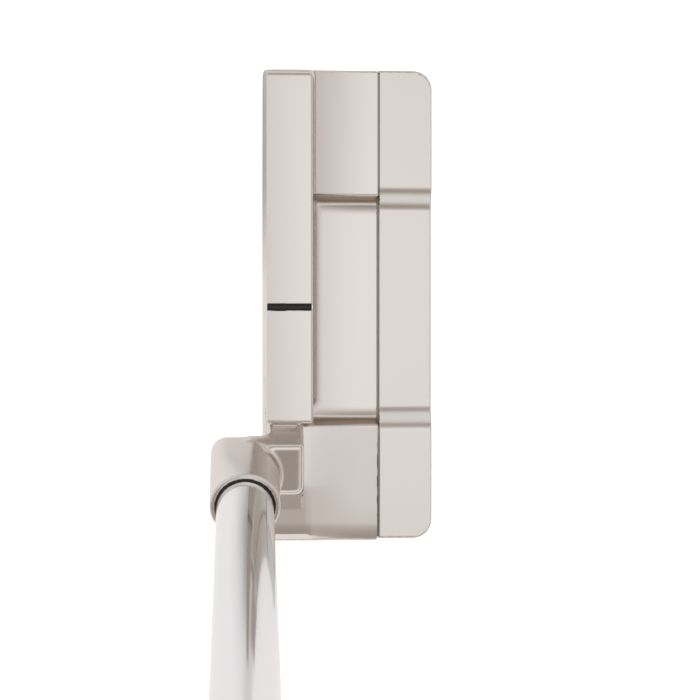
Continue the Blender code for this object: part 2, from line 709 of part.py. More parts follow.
def build():
    for old in list(bpy.data.objects):
        bpy.data.objects.remove(old)
    steel = material("satin_steel", (0.62, 0.57, 0.52), 0.32, 1.0)
    aluminium = material("satin_aluminium", (0.66, 0.62, 0.58), 0.34, 1.0)
    chrome = material("polished_chrome", (0.80, 0.80, 0.81), 0.06, 1.0)
    screw_steel = material("screw_steel", (0.45, 0.44, 0.43), 0.35, 1.0)
    black_paint = material("black_paint", (0.006, 0.006, 0.006), 0.35, 0.0)
    black_glue = material("black_adhesive", (0.010, 0.009, 0.009), 0.45, 0.0)
    membrane = material("dark_membrane", (0.06, 0.05, 0.045), 0.60, 0.0)
    plastic = material("black_plastic", (0.02, 0.02, 0.02), 0.45, 0.0)
    label = material("plain_label", (0.55, 0.55, 0.56), 0.40, 0.0)
    rubber = material("grip_rubber", (0.015, 0.015, 0.016), 0.70, 0.0)
    tape = material("grip_tape", (0.70, 0.68, 0.62), 0.80, 0.0)

    axis = bpy.data.objects.new("shaft_line", None)
    axis.location = Vector((SHAFT_X, MOUTH_Y, MOUTH_HEIGHT)) * MM
    axis.rotation_euler = (LEAN, 0.0, 0.0)
    bpy.context.scene.collection.objects.link(axis)

    body = make_head_body(steel)
    make_rear_flange(aluminium)
    make_seam_membrane(membrane)
    make_sight_paint(black_paint)
    make_weights(screw_steel)
    make_screws(screw_steel)
    centre, middle = make_neck(axis, steel)
    depth = seat_depth(middle) + SPIGOT_LENGTH + BOND_GAP
    socket = make_spigot("spigot_socket", axis, centre, SPIGOT_RADIUS + BOND_GAP, 0.0, depth)
    combine(body, socket, "DIFFERENCE")
    make_shaft(axis, chrome, black_glue, plastic, label)
    make_grip(axis, rubber, tape, plastic)


build()
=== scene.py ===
# %% [markdown]
# # A blade putter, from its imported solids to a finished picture
#
# The club is already built as plain solids, one for each real piece, and loaded here as a fixed frame.
# This notebook gives it its looks: fine surfaces with real edge radii for the milled head and neck,
# a moulded grip, and a material for every finish. Places come from the frame. Sizes that the solids
# only hint at, such as edge radii, are named where they are first used, in millimetres.

# %% Load the frame
import math

import bpy
import numpy as np
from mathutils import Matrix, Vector


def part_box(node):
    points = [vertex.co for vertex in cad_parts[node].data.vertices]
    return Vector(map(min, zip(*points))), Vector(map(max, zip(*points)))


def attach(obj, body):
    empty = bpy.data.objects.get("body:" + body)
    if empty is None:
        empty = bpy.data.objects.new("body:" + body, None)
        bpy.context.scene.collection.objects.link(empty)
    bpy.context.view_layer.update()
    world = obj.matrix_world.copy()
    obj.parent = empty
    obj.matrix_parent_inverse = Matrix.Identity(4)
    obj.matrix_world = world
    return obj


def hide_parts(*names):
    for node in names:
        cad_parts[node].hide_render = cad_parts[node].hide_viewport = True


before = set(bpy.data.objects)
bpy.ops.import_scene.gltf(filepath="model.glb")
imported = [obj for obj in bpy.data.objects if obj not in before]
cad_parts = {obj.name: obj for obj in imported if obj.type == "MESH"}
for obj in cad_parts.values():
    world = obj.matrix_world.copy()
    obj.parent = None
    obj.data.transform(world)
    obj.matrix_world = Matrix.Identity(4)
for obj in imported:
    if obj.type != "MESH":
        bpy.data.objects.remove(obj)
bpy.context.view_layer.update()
MM = 0.001
CLUB = "club"


def node_box(name):
    """Lowest and highest corner of a solid, in millimetres."""
    low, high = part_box(name)
    return np.array(low) / MM, np.array(high) / MM


# %% [markdown]
# ## Rounded shapes from formulas
#
# A milled head is a few flat cuts joined by ball-cutter radii. It could be modelled by bevelling
# edges, but bevels fail where many cuts meet. Instead each piece is written as a function that is
# negative inside the metal and positive outside, in millimetres. A cut or a join of two such
# functions can carry its own radius, so every edge and fillet gets the size it has on the real head.

# %% Cuts and joins with a radius
def keep_both(a, b, radius):
    """Space inside both shapes. Within one radius of both skins, the distance is that of a round edge."""
    u = np.maximum(a + radius, 0.0)
    v = np.maximum(b + radius, 0.0)
    return np.minimum(np.maximum(a, b), -radius) + np.sqrt(u * u + v * v)


def join(a, b, radius):
    """Space inside either shape, with a hollow fillet of the radius where their skins meet."""
    u = np.maximum(radius - a, 0.0)
    v = np.maximum(radius - b, 0.0)
    return np.maximum(np.minimum(a, b), radius) - np.sqrt(u * u + v * v)


def carve(a, b, radius):
    """Shape a with shape b cut away, and the rim of the cut rounded."""
    return keep_both(a, -b, radius)


def smooth(share):
    """0 to 1 with level ends: 3 t squared minus 2 t cubed."""
    t = np.clip(share, 0.0, 1.0)
    return t * t * (3.0 - 2.0 * t)


# %% Grid stations that crowd where the shape turns
def stations(low, high, coarse, fine, marks, growth=0.3):
    """Places from low to high. The step is fine at each mark and grows with distance up to coarse."""
    places = [low]
    while places[-1] < high:
        away = min((abs(places[-1] - mark) for mark in marks), default=coarse)
        places.append(places[-1] + min(coarse, fine + growth * away))
    return np.array(places)


# %% A surface from a function
def gradient(field, points, reach=0.004):
    """Central differences of the function at each point."""
    columns = []
    for axis in range(3):
        step = np.zeros(3)
        step[axis] = reach
        ahead = field(*(points + step).T)
        behind = field(*(points - step).T)
        columns.append((ahead - behind) / (2 * reach))
    return np.stack(columns, axis=1)


def surface(field, xs, ys, zs):
    """Points, quads and normals of the skin where the function is zero.

    Each grid cell that the skin crosses gets one point, at the mean of its edge crossings, then moved
    along the gradient onto the skin. Each grid edge that the skin crosses joins its four cells' points.
    """
    axes = (xs, ys, zs)
    value = field(*np.meshgrid(xs, ys, zs, indexing="ij"))
    inside = value < 0
    cells = tuple(size - 1 for size in value.shape)
    total = np.zeros((*cells, 3))
    count = np.zeros(cells)
    crossings = []
    for axis in range(3):
        first = [slice(None)] * 3
        second = [slice(None)] * 3
        first[axis] = slice(None, -1)
        second[axis] = slice(1, None)
        a, b = value[tuple(first)], value[tuple(second)]
        cross = inside[tuple(first)] != inside[tuple(second)]
        share = np.where(cross, a / np.where(cross, a - b, 1.0), 0.0)
        places = [np.broadcast_to(axes[k].reshape([-1 if j == k else 1 for j in range(3)]), value.shape)
                  for k in range(3)]
        spots = np.stack([place[tuple(first)] for place in places], axis=-1).astype(float)
        spots[..., axis] += share * (places[axis][tuple(second)] - places[axis][tuple(first)])
        spots *= cross[..., None]
        others = [k for k in range(3) if k != axis]
        for i in (0, 1):
            for j in (0, 1):
                part = [slice(None)] * 3
                part[others[0]] = slice(i, i + cells[others[0]])
                part[others[1]] = slice(j, j + cells[others[1]])
                total += spots[tuple(part)]
                count += cross[tuple(part)]
        crossings.append((cross, inside[tuple(first)], others))
    active = count > 0
    number = np.full(cells, -1)
    number[active] = np.arange(active.sum())
    points = total[active] / count[active][:, None]

    quads = []
    for axis, (cross, starts_inside, others) in enumerate(crossings):
        for outward in (True, False):
            where = np.argwhere(cross & (starts_inside == outward))
            keep = np.ones(len(where), bool)
            for k in others:
                keep &= (where[:, k] > 0) & (where[:, k] < value.shape[k] - 1)
            where = where[keep]
            ring = []
            for i, j in ((0, 0), (1, 0), (1, 1), (0, 1)):
                cell = where.copy()
                cell[:, others[0]] -= i
                cell[:, others[1]] -= j
                ring.append(number[tuple(cell.T)])
            flip = outward == (axis == 1)
            quads.append(np.stack(ring[::-1] if flip else ring, axis=1))
    quads = np.concatenate(quads)

    reach = 0.5 * min(np.diff(a).min() for a in axes)
    for _ in range(6):
        slope = gradient(field, points)
        size = (slope * slope).sum(1)
        step = (field(*points.T) / np.maximum(size, 1e-6))[:, None] * slope
        length = np.linalg.norm(step, axis=1, keepdims=True)
        points -= step * np.minimum(1.0, 2 * reach / np.maximum(length, 1e-9))
    slope = gradient(field, points)
    normals = slope / np.maximum(np.linalg.norm(slope, axis=1, keepdims=True), 1e-9)
    return points, quads, normals


# %% Put points and faces into an object
def add_piece(name, points, quads, normals=None):
    """A smooth-shaded object at the origin, from points in millimetres."""
    mesh = bpy.data.meshes.new(name)
    mesh.vertices.add(len(points))
    mesh.vertices.foreach_set("co", (np.asarray(points) * MM).astype(np.float32).ravel())
    sides = quads.shape[1]
    mesh.loops.add(quads.size)
    mesh.loops.foreach_set("vertex_index", quads.astype(np.int32).ravel())
    mesh.polygons.add(len(quads))
    mesh.polygons.foreach_set("loop_start", np.arange(0, quads.size, sides, dtype=np.int32))
    mesh.update(calc_edges=True)
    mesh.validate()
    mesh.shade_smooth()
    if normals is not None:
        mesh.normals_split_custom_set_from_vertices(normals)
    piece = bpy.data.objects.new(name, mesh)
    bpy.context.scene.collection.objects.link(piece)
    print(f"{name}: {len(points)} points, {len(quads)} faces")
    return piece


def finish_piece(piece, node, body=CLUB):
    """The piece rides on its body, and the solid it stands in for is hidden."""
    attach(piece, body)
    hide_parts(node)


# %% [markdown]
# ## The head's driving sizes
#
# The outer places are read from the solids' boxes. The rest are the cuts between them: topline,
# bumpers, cavity, heel shoulder and sole.

# %% Sizes of the head
body_low, body_high = node_box("head_body")
flange_low, flange_high = node_box("rear_flange")
HEEL, TOE = body_low[1], body_high[1]
TOP = body_high[2]
STEEL_BACK = body_high[0] + 0.25
BACK = flange_high[0]
PLATE_FRONT = flange_low[0]
SEAM = 7.25
SEAM_GAP = 2 * (SEAM - STEEL_BACK)
PLATE_TOP = node_box("seam_membrane")[0][2] - 0.06

FACE_TOP = -18.9
FACE_LOFT = math.radians(1.5)
TOPLINE_BACK = FACE_TOP + 10.6
END_DRAFT = math.tan(math.radians(7.2))
END_FOOT = 10.0
SOLE_FLAT = 20.0
SOLE_RISE = math.tan(math.radians(3.0))
BUMPER_FRONT = 18.5
BUMPER_BACK = 14.5
CAVITY_TOE = 26.0
CAVITY_HEEL = 27.1
CAVITY_FLOOR = 11.0
SEAT = 17.4
SHOULDER_Y = -41.0
SHOULDER_SLOPE = 0.26
print("head from", HEEL.round(2), "to", TOE.round(2), "top at", TOP.round(2))

# %% Sizes of the neck, in a frame at the hosel's mouth
LEAN = math.radians(20.0)
MOUTH = np.array([-23.6, -24.2 - 50.0 * math.tan(LEAN), 50.0])
HOSEL_RADIUS = 7.5
HOSEL_LENGTH = 22.4
ARM_TOP = 17.0
ARM_BOTTOM = 23.0
TOE_SIDE = 6.8
HEEL_SIDE = -5.3
POST_FRONT = -18.7
POST_BACK = -10.7
BORE_RADIUS = 6.34


def along(x, y, z):
    """(across, towards the toe, up the shaft) from the mouth, for points in the club's own frame."""
    y0, z0 = y - MOUTH[1], z - MOUTH[2]
    side = y0 * math.cos(LEAN) + z0 * math.sin(LEAN)
    up = -y0 * math.sin(LEAN) + z0 * math.cos(LEAN)
    return x - MOUTH[0], side, up


# %% Walls that the body and the flange share
def sole_field(y, z):
    """Underside: level in the middle, and rising to both ends on straight slopes."""
    return np.maximum(0.0, np.abs(y) - SOLE_FLAT) * SOLE_RISE - z


def toe_wall(y, z):
    return (y - TOE + np.maximum(0.0, z - END_FOOT) * END_DRAFT) * 0.993


def heel_wall(y, z, setback=0.0):
    return (HEEL + setback - y + np.maximum(0.0, z - END_FOOT) * END_DRAFT) * 0.993


def upright_hole(x, y, z, centre, radius, top):
    """A drilled hole from below, up to a height."""
    return np.maximum(np.hypot(x - centre[0], y - centre[1]) - radius, z - top)


# %% [markdown]
# ## The steel body
#
# On the real putter the body is milled from a bar: a face mill leaves the topline and the face, a
# ball cutter leaves the cavity with its round corners, and the heel is cut away for the neck. The
# function below follows the same order, and each join has the cutter's radius.

# %% Body function
EDGE = 0.42
TOPLINE_TOE_ROUND = 1.7
TOPLINE_HEEL_ROUND = 1.0
FLOOR_FILLET = 4.8
FRONT_FILLET = 2.6
TOPLINE_FILLET = 1.0
SEAM_EDGE = 0.12
TOPLINE_BACK_EDGE = 0.8
SHOULDER_CREASE = 2.6
HEEL_ROUND = 4.2
HEEL_FALL = 0.09
LEADING_ROUND = 2.4
SIGHT_HALF_WIDTH = 0.75
SIGHT_DEPTH = 0.5
WEIGHT_PLACES = [(-11.4, 41.0), (-11.4, -41.0)]
WEIGHT_SOCKET = 6.28
TOPLINE_CROWN = 0.0036
FLOOR_RISE = 2.0


def bumper(x):
    """Bumper height falls from the topline to the seam as a parabola, level at the seam."""
    share = np.minimum((STEEL_BACK - x) / (STEEL_BACK - TOPLINE_BACK), 1.1)
    return BUMPER_BACK + (BUMPER_FRONT - BUMPER_BACK) * share * share


def bumper_slab(x, z):
    share = np.minimum((STEEL_BACK - x) / (STEEL_BACK - TOPLINE_BACK), 1.1)
    slope = 2 * (BUMPER_FRONT - BUMPER_BACK) * share / (STEEL_BACK - TOPLINE_BACK)
    return (z - bumper(x)) / np.sqrt(1.0 + slope * slope)


def shoulder(y, z):
    """Seat for the neck, then a slope down to the heel. The two meet along a hyperbola."""
    past = y - SHOULDER_Y
    fall = 0.5 * (past - np.sqrt(past * past + 1.0))
    return (z - SEAT - SHOULDER_SLOPE * fall) * 0.98


def body_field(x, y, z):
    face = (FACE_TOP - (TOP - z) * math.tan(FACE_LOFT) - x) * math.cos(FACE_LOFT)
    _, side, _ = along(x, y, z)
    toe = toe_wall(y, z)
    heel = heel_wall(y, z)
    crown = TOPLINE_CROWN * (x - TOPLINE_BACK) ** 2
    topline = keep_both(z - TOP + crown, x - TOPLINE_BACK, TOPLINE_BACK_EDGE)
    topline = keep_both(topline, face, EDGE)
    topline = keep_both(topline, toe, TOPLINE_TOE_ROUND)
    topline = keep_both(topline, TOE_SIDE - side, TOPLINE_HEEL_ROUND)
    slab = bumper_slab(x, z)
    toe_bumper = keep_both(keep_both(slab, CAVITY_TOE - y, 0.35), toe, 0.5)
    heel_slab = keep_both(slab - HEEL_FALL * np.minimum(0.0, y + CAVITY_HEEL), heel, 0.5)
    heel_slope = keep_both(shoulder(y, z), heel, HEEL_ROUND)
    heel_bumper = keep_both(keep_both(heel_slab, heel_slope, SHOULDER_CREASE), y + CAVITY_HEEL, 0.35)
    floor_share = np.clip((STEEL_BACK - x) / (STEEL_BACK - TOPLINE_BACK), 0.0, 1.0)
    floor_slope = 2.5 * FLOOR_RISE * floor_share**1.5 / (STEEL_BACK - TOPLINE_BACK)
    floor = (z - CAVITY_FLOOR - FLOOR_RISE * floor_share**2.5) / np.sqrt(1.0 + floor_slope**2)
    behind = join(np.minimum(toe_bumper, heel_bumper), floor, FLOOR_FILLET)
    front = join(topline, floor, FRONT_FILLET)
    top = join(behind, front, TOPLINE_FILLET)
    under_neck = keep_both(keep_both(shoulder(y, z), x + 10.4, 0.2), y + 16.0, 0.2)
    top = np.minimum(top, keep_both(under_neck, heel, HEEL_ROUND))
    shape = keep_both(top, x - STEEL_BACK, SEAM_EDGE)
    shape = keep_both(shape, face, EDGE)
    sole = keep_both(sole_field(y, z), face, LEADING_ROUND)
    shape = np.maximum(shape, sole)
    shape = keep_both(shape, np.maximum(toe, heel), 0.5)
    shape = keep_both(shape, keep_both(sole_field(y, z), np.maximum(toe, heel), 3.0), 0.3)
    plate = keep_both(PLATE_FRONT - 0.15 - x, z - PLATE_TOP - 0.4, 0.1)
    shape = carve(shape, plate, 0.1)
    groove = keep_both(np.abs(y) - SIGHT_HALF_WIDTH, TOP - SIGHT_DEPTH - z, 0.2)
    groove = np.maximum(groove, x - TOPLINE_BACK - 1.0)
    shape = carve(shape, groove, 0.08)
    for centre in WEIGHT_PLACES:
        shape = carve(shape, upright_hole(x, y, z, centre, WEIGHT_SOCKET, 9.6), 0.25)
    return shape


# %% Body mesh
body_points = surface(
    body_field,
    stations(body_low[0] - 0.6, STEEL_BACK + 0.5, 0.5, 0.12,
             [-19.3, FACE_TOP, TOPLINE_BACK, PLATE_FRONT - 0.15, STEEL_BACK]),
    stations(HEEL - 0.6, TOE + 0.6, 0.5, 0.12,
             [HEEL, HEEL + 3, -CAVITY_HEEL, -26, -23.5, -0.75, 0.75, 22.5, CAVITY_TOE, 51.5, TOE - 0.6]),
    stations(-0.5, TOP + 0.5, 0.75, 0.12, [0.0, CAVITY_FLOOR, 13.0, BUMPER_BACK, SEAT, TOP]),
)
head = add_piece("head_body_milled", *body_points)
finish_piece(head, "head_body")

# %% [markdown]
# ## The plumbing neck
#
# The neck carries the shaft ahead of the face: a hosel with a bore, an arm, and a post that stands on
# the head. The hosel starts round at its mouth and ends with two square corners. The fillets round
# the post belong to both pieces, so the neck's function joins itself to the body's, then keeps only what
# lies on or above the body's skin.

# %% Neck function
ARM_EDGE = 1.7
POST_EDGE = 1.3
POCKET_DEPTH = 0.7
POCKET_FOOT = -29.0
HEEL_CORNER_ROUND = 2.0
HOSEL_CORNER = 3.6
HOSEL_END_ROUND = 3.3
HOSEL_ARM_FILLET = 1.3
SMALL_FILLET = 0.6
SKIN_STEP = 0.012


def hosel_field(x, side, up):
    """Round at the mouth and on the head's side. The front corners turn square towards the lower end."""
    squareness = smooth(-up / 16.0) * smooth(0.5 - x / 8.0)
    corner = HOSEL_RADIUS + (HOSEL_CORNER - HOSEL_RADIUS) * squareness
    ring = keep_both(np.abs(x) - HOSEL_RADIUS, np.abs(side) - HOSEL_RADIUS, corner)
    shape = keep_both(ring, -HOSEL_LENGTH - up, HOSEL_END_ROUND)
    return keep_both(shape, up, 0.45)


def bar_field(x, side, up):
    """Arm and post as one bent bar, with a shallow pocket milled in its toe side."""
    front, back = POST_FRONT - MOUTH[0], POST_BACK - MOUTH[0]
    arm = keep_both(up + ARM_TOP, -ARM_BOTTOM - up, 0.1)
    arm = np.maximum(arm, -x)
    post = np.maximum(front - x, up + ARM_TOP)
    profile = join(arm, post, 2.5)
    heel_corner = keep_both(x - back, HEEL_SIDE - side, HEEL_CORNER_ROUND)
    shape = keep_both(profile, heel_corner, ARM_EDGE)
    shape = keep_both(shape, side - TOE_SIDE, POST_EDGE)
    pocket = keep_both(TOE_SIDE - POCKET_DEPTH - side, up + ARM_TOP + 1.7, 0.5)
    pocket = keep_both(pocket, np.maximum(front + 1.0 - x, x - back + 1.0), 0.5)
    pocket = keep_both(pocket, POCKET_FOOT - up, 0.2)
    return carve(shape, pocket, 0.25)


def neck_field(x, y, z):
    """Neck and its fillets to the body, down to 0.8 mm below the body's skin."""
    lx, side, up = along(x, y, z)
    bare = join(hosel_field(lx, side, up), bar_field(lx, side, up), HOSEL_ARM_FILLET)
    body = body_field(x, y, z)
    shape = join(body, bare, SMALL_FILLET) + SKIN_STEP
    shape = np.maximum(shape, -(body + 0.8))
    shape = np.maximum(shape, bare - SMALL_FILLET - 0.3)
    bore = np.maximum(np.hypot(lx, side) - BORE_RADIUS, -19.2 - up)
    return carve(shape, bore, 0.15)


# %% Neck mesh
neck_low, neck_high = node_box("plumbing_neck")
neck_points = surface(
    neck_field,
    stations(neck_low[0] - 0.6, POST_BACK + 2.5, 0.42, 0.2, [POST_FRONT, POST_BACK, -31.0]),
    stations(-50.5, -20.0, 0.36, 0.25, [-26.0]),
    stations(SEAT - 2.5, neck_high[2] + 0.6, 0.36, 0.2, [SEAT, TOP]),
)
neck = add_piece("plumbing_neck_milled", *neck_points)
finish_piece(neck, "plumbing_neck")

# %% [markdown]
# ## The rear flange
#
# The flange is a separate aluminium piece with the sole plate on its front. Its top is raised at both
# ends and lower in the middle, with smooth steps, and it falls a little towards the back. Its back
# corners are round in plan, and a fine chamfer runs round its rim.

# %% Flange function
FLANGE_END = flange_high[2]
FLANGE_MID = 11.7
FLANGE_FALL = 0.9
STEP_START = 22.55
STEP_LENGTH = 5.6
CORNER = 4.4
BACK_DRAFT = 0.03
SCREW_PLACES = [(1.6, y) for y in (42.0, 14.0, -14.0, -42.0)]
FLANGE_HEEL_SETBACK = 0.5


def flange_field(x, y, z):
    share = np.clip((np.abs(y) - STEP_START) / STEP_LENGTH, 0.0, 1.0)
    fall = FLANGE_FALL * np.clip((x - SEAM) / (BACK - SEAM), 0.0, 1.2)
    height = FLANGE_MID + (FLANGE_END - FLANGE_MID) * smooth(share) - fall
    slope = (FLANGE_END - FLANGE_MID) * 6.0 * share * (1.0 - share) / STEP_LENGTH
    top = (z - height) / np.sqrt(1.0 + slope * slope)
    ends = np.maximum(toe_wall(y, z), heel_wall(y, z, FLANGE_HEEL_SETBACK))
    back = x - BACK + BACK_DRAFT * z
    plan = keep_both(ends, back, CORNER)
    shape = keep_both(top, plan, 0.35)
    front = SEAM + SEAM_GAP / 2 - x
    shape = keep_both(shape, front, SEAM_EDGE)
    plate = np.maximum(np.maximum(PLATE_FRONT - x, z - PLATE_TOP), plan)
    shape = np.minimum(shape, plate)
    relief = (x - 12.0) * math.sin(math.radians(8)) - z * math.cos(math.radians(8))
    sole = np.maximum(sole_field(y, z), relief)
    shape = keep_both(shape, keep_both(sole, plan, 2.6), 0.05)
    for centre in SCREW_PLACES:
        foot = max(0.0, abs(centre[1]) - SOLE_FLAT) * SOLE_RISE + 2.35
        shape = carve(shape, upright_hole(x, y, z, centre, 3.02, foot), 0.2)
    return shape


# %% Flange mesh
flange_points = surface(
    flange_field,
    stations(PLATE_FRONT - 0.6, BACK + 0.6, 0.5, 0.12, [PLATE_FRONT, SEAM, BACK]),
    stations(flange_low[1] - 0.6, TOE + 0.6, 0.7, 0.12,
             [flange_low[1], TOE, -26.0, -23.0, 23.0, 26.0]),
    stations(-0.5, FLANGE_END + 0.5, 0.6, 0.12, [0.0, PLATE_TOP, 10.2, 13.9]),
)
flange = add_piece("rear_flange_milled", *flange_points)
finish_piece(flange, "rear_flange")

# %% Membrane in the seam, a little below the lower of its two neighbours
MEMBRANE_HALF = 0.23


def membrane_field(x, y, z):
    steel = BUMPER_BACK + HEEL_FALL * np.minimum(0.0, y + CAVITY_HEEL)
    steel = np.where((y > -CAVITY_HEEL) & (y < CAVITY_TOE), CAVITY_FLOOR, steel)
    share = np.clip((np.abs(y) - STEP_START) / STEP_LENGTH, 0.0, 1.0)
    rim = np.minimum(steel, FLANGE_MID + (FLANGE_END - FLANGE_MID) * smooth(share)) - 0.05
    ends = np.maximum(toe_wall(y, z), heel_wall(y, z, FLANGE_HEEL_SETBACK)) + 0.5
    strip = np.maximum(np.abs(x - SEAM) - MEMBRANE_HALF, PLATE_TOP + 0.06 - z)
    return np.maximum(np.maximum(strip, ends), (z - rim) * 0.7)


membrane_surface = surface(
    membrane_field,
    np.linspace(SEAM - 0.3, SEAM + 0.3, 13),
    stations(flange_low[1] - 0.2, TOE + 0.2, 0.6, 0.15, [-CAVITY_HEEL, CAVITY_TOE, -25.3, 25.3]),
    np.linspace(PLATE_TOP - 0.2, FLANGE_END + 0.2, 40),
)
membrane = add_piece("membrane_strip", *membrane_surface)
finish_piece(membrane, "seam_membrane")

# %% [markdown]
# ## Turned pieces
#
# Shaft, band, adhesive ring, weights and screws are turned or drawn round. Each is a profile of radius
# against length, carried round its axis on a grid of angles.

# %% Rings joined into a closed sleeve
def sleeve(rings):
    """Points and quads of rings of equally many points, where the last ring joins back to the first."""
    rings = np.asarray(rings, float)
    rows, count = rings.shape[:2]
    i, j = np.meshgrid(np.arange(rows), np.arange(count), indexing="ij")
    here = i * count + j
    beside = i * count + (j + 1) % count
    above = (i + 1) % rows * count + j
    across = (i + 1) % rows * count + (j + 1) % count
    return rings.reshape(-1, 3), np.stack([here, beside, across, above], axis=-1).reshape(-1, 4)


def circle(radius, up, count=128):
    turn = 2 * np.pi * np.arange(count) / count
    return np.stack([radius * np.cos(turn), radius * np.sin(turn), np.full(count, float(up))], axis=1)


def turned(profile, count=128):
    """A closed profile of (radius, length) pairs, carried once round its axis."""
    return sleeve([circle(radius, up, count) for radius, up in profile])


def on_shaft(points):
    """From the shaft's own frame into the club's."""
    x, side, up = points.T
    y = MOUTH[1] + side * math.cos(LEAN) - up * math.sin(LEAN)
    z = MOUTH[2] + side * math.sin(LEAN) + up * math.cos(LEAN)
    return np.stack([x + MOUTH[0], y, z], axis=1)


# %% Shaft
SHAFT_RADIUS = 6.08
SHAFT_TAPER = 0.00174
SHAFT_WALL = 0.5
BUTT = 864.0 - 50.0 / math.cos(LEAN)


def shaft_radius(up):
    return SHAFT_RADIUS + SHAFT_TAPER * up


rows = np.linspace(-18.5, BUTT, 60)
profile = [(shaft_radius(w), w) for w in rows]
profile += [(shaft_radius(w) - SHAFT_WALL, w) for w in rows[::-1]]
points, quads = turned(profile)
shaft = add_piece("shaft_tube", on_shaft(points), quads)
finish_piece(shaft, "shaft")

# %% Adhesive ring, with a meniscus that climbs the shaft
GLUE_TOP = -0.12
climb = np.linspace(0.0, 1.0, 9)
inner, outer = shaft_radius(0.0) + 0.03, BORE_RADIUS - 0.03
profile = [(inner, -18.4), (outer, -18.4)]
profile += [(outer + (inner - outer) * t, GLUE_TOP + 0.25 * t**3) for t in climb]
points, quads = turned(profile)
glue = add_piece("adhesive_ring", on_shaft(points), quads)
finish_piece(glue, "hosel_epoxy")

# %% Shaft band: a printed film whose edges are only as thick as the film
GRIP_LENGTH = 262.0
GRIP_START = BUTT - GRIP_LENGTH
BAND_TOP = GRIP_START - 12.0
profile = []
for w in np.linspace(BAND_TOP - 24.0, BAND_TOP, 25):
    profile.append((shaft_radius(w) + 0.17, w))
profile += [(shaft_radius(w) + 0.05, w) for w in (BAND_TOP, BAND_TOP - 24.0)]
points, quads = turned(profile)
band = add_piece("shaft_band_film", on_shaft(points), quads)
finish_piece(band, "shaft_band")

# %% Sole weights, with a chamfered foot and two spanner holes
WEIGHT_RADIUS = 6.2
WEIGHT_TALL = 8.0


def weight_field(x, y, z):
    shape = keep_both(np.hypot(x, y) - WEIGHT_RADIUS, np.maximum(-z, z - WEIGHT_TALL), 0.5)
    ring = np.abs(np.hypot(x, y) - 5.2) - 0.12
    shape = carve(shape, np.maximum(ring, z - 0.2), 0.05)
    for end in (-1, 1):
        hole = keep_both(np.hypot(x, y + end * 3.3) - 0.95, z - 2.6, 0.3)
        shape = carve(shape, hole, 0.2)
    return shape


across = stations(-6.5, 6.5, 0.24, 0.16, [-6.2, -3.3, 3.3, 6.2])
weight_surface = surface(weight_field, across, across, stations(-0.4, 8.4, 0.4, 0.12, [0.0, 2.6]))
weights = []
for side in ("toe", "heel"):
    low, high = node_box(f"{side}_weight")
    place = np.array([(low[0] + high[0]) / 2, (low[1] + high[1]) / 2, low[2]])
    weight = add_piece(f"{side}_weight_turned", weight_surface[0] + place, *weight_surface[1:])
    finish_piece(weight, f"{side}_weight", f"{side}_weight_screw")
    weights.append(weight)

# %% Flange screws, with a hexagon socket
def screw_field(x, y, z):
    radius = np.hypot(x, y)
    head = keep_both(radius - 2.9, np.maximum(-z, z - 1.9), 0.3)
    shape = np.minimum(head, np.maximum(radius - 1.6, np.maximum(-z, z - 8.6)))
    turn = np.radians([30.0, 90.0, 150.0])
    flats = np.max([np.abs(x * math.cos(a) + y * math.sin(a)) for a in turn], axis=0) - 1.25
    return carve(shape, keep_both(flats, z - 1.2, 0.1), 0.12)


across = stations(-3.2, 3.2, 0.16, 0.1, [-2.9, -1.25, 1.25, 2.9])
screw_surface = surface(screw_field, across, across, stations(-0.4, 9.0, 0.4, 0.1, [0.0, 1.2, 1.9]))
screws = []
for number in range(1, 5):
    low, high = node_box(f"flange_screw_{number}")
    place = np.array([(low[0] + high[0]) / 2, (low[1] + high[1]) / 2, low[2]])
    screw = add_piece(f"flange_screw_{number}_turned", screw_surface[0] + place, *screw_surface[1:])
    finish_piece(screw, f"flange_screw_{number}")
    screws.append(screw)

# %% Paint in the sight line's groove, hollow along its middle where it has dried
def paint_field(x, y, z):
    hollow = 0.22 * (1.0 - (y / SIGHT_HALF_WIDTH) ** 2)
    top = z - (TOP - 0.06 - hollow)
    low = TOP - SIGHT_DEPTH + 0.03 - z
    strip = keep_both(np.abs(y) - SIGHT_HALF_WIDTH + 0.02, low, 0.2)
    ends = np.maximum(FACE_TOP + 0.25 - x, x - TOPLINE_BACK + 0.35)
    return keep_both(np.maximum(strip, top), ends, 0.12)


paint_surface = surface(
    paint_field,
    stations(FACE_TOP - 0.1, TOPLINE_BACK + 0.2, 0.12, 0.06, [FACE_TOP + 0.25, TOPLINE_BACK - 0.35]),
    np.linspace(-0.85, 0.85, 48),
    np.linspace(TOP - 0.6, TOP + 0.05, 30),
)
paint = add_piece("sight_line_fill", *paint_surface)
finish_piece(paint, "sight_line_paint")

# %% [markdown]
# ## The grip
#
# A moulded rubber pistol grip: nearly round at its mouth, flat towards the toe where the thumbs lie,
# and swelling towards the heel near its top. Shallow cross grooves are moulded in the flat.

# %% Outline of the grip at each height
ROUND = 96
TURN = 2 * np.pi * np.arange(ROUND) / ROUND


